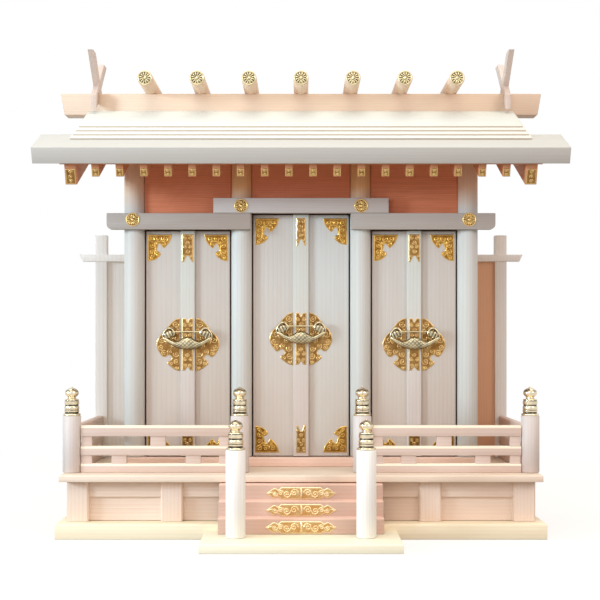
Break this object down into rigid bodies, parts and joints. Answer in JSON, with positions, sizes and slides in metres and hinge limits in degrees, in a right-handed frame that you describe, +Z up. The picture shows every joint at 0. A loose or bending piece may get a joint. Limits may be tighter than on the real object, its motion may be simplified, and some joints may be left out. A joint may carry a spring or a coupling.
{
  "type": "kamidana",
  "caption": "Household shrine of plain cypress with one gabled roof over its doorways, a railed veranda, steps, ridge logs, crossed roof boards and gilt brass fittings.",
  "frame": {"origin": "on the ground in the middle plane, under the front of the hall, on the base mount", "axes": "+X to the right of a viewer facing the doors, +Y to the back, +Z up"},
  "size_m": [0.6, 0.334, 0.5668],
  "materials": {
    "cypress": "planed, unfinished",
    "cypress_transom": "planed, unfinished, reddish heartwood",
    "cypress_door": "planed, unfinished, straight grain",
    "gilt_brass": "polished gilt"
  },
  "bodies": {
    "shrine": {"base_slab": "cypress", "stair_plate": "cypress", "plinth_front": "cypress", "plinth_back": "cypress", "plinth_left": "cypress", "plinth_right": "cypress", "veranda_floor": "cypress", "stairs": "cypress", "stair_post_left": "cypress", "stair_post_right": "cypress", "landing_post_left": "cypress", "landing_post_right": "cypress", "corner_post_left": "cypress", "corner_post_right": "cypress", "stair_finial_left": "gilt_brass", "stair_finial_right": "gilt_brass", "landing_finial_left": "gilt_brass", "landing_finial_right": "gilt_brass", "corner_finial_left": "gilt_brass", "corner_finial_right": "gilt_brass", "railing_front_left": "cypress", "railing_front_right": "cypress", "railing_side_left": "cypress", "railing_side_right": "cypress", "wing_screen_left": "cypress", "wing_screen_right": "cypress", "door_sill": "cypress", "column_inner_left": "cypress", "column_inner_right": "cypress", "column_outer_left": "cypress", "column_outer_right": "cypress", "hall_floor": "cypress", "side_wall_left": "cypress", "side_wall_right": "cypress", "back_wall": "cypress", "transom_left": "cypress_transom", "transom_centre": "cypress_transom", "transom_right": "cypress_transom", "lintel_left": "cypress", "lintel_centre": "cypress", "lintel_right": "cypress", "rafters_front": "cypress", "rafters_back": "cypress", "eave_board_front": "cypress", "eave_board_back": "cypress", "roof_front": "cypress", "roof_back": "cypress", "ridge_beam": "cypress", "chigi_left": "cypress", "chigi_right": "cypress"},
    "left_door_left_leaf": {"door_left_leaf_left": "cypress_door", "door_left_lock": "gilt_brass"},
    "left_door_right_leaf": {"door_left_leaf_right": "cypress_door"},
    "centre_door_left_leaf": {"door_centre_leaf_left": "cypress_door", "door_centre_lock": "gilt_brass"},
    "centre_door_right_leaf": {"door_centre_leaf_right": "cypress_door"},
    "right_door_left_leaf": {"door_right_leaf_left": "cypress_door", "door_right_lock": "gilt_brass"},
    "right_door_right_leaf": {"door_right_leaf_right": "cypress_door"}
  },
  "joints": [
    {"name": "left_door_left_hinge", "type": "hinge", "parent": "shrine", "child": "left_door_left_leaf", "pos_m": [-0.18325, 0.0065, 0.2], "axis": [0, 0, -1], "range_deg": [0, 90]},
    {"name": "left_door_right_hinge", "type": "hinge", "parent": "shrine", "child": "left_door_right_leaf", "pos_m": [-0.08675, 0.0065, 0.2], "axis": [0, 0, 1], "range_deg": [0, 90]},
    {"name": "centre_door_left_hinge", "type": "hinge", "parent": "shrine", "child": "centre_door_left_leaf", "pos_m": [-0.05525, 0.0065, 0.2], "axis": [0, 0, -1], "range_deg": [0, 90]},
    {"name": "centre_door_right_hinge", "type": "hinge", "parent": "shrine", "child": "centre_door_right_leaf", "pos_m": [0.05525, 0.0065, 0.2], "axis": [0, 0, 1], "range_deg": [0, 90]},
    {"name": "right_door_left_hinge", "type": "hinge", "parent": "shrine", "child": "right_door_left_leaf", "pos_m": [0.08675, 0.0065, 0.2], "axis": [0, 0, -1], "range_deg": [0, 90]},
    {"name": "right_door_right_hinge", "type": "hinge", "parent": "shrine", "child": "right_door_right_leaf", "pos_m": [0.18325, 0.0065, 0.2], "axis": [0, 0, 1], "range_deg": [0, 90]}
  ],
  "couplings": [
    {"joint": "left_door_right_hinge", "follows": "left_door_left_hinge", "ratio": 1},
    {"joint": "centre_door_right_hinge", "follows": "centre_door_left_hinge", "ratio": 1},
    {"joint": "right_door_right_hinge", "follows": "right_door_left_hinge", "ratio": 1}
  ]
}
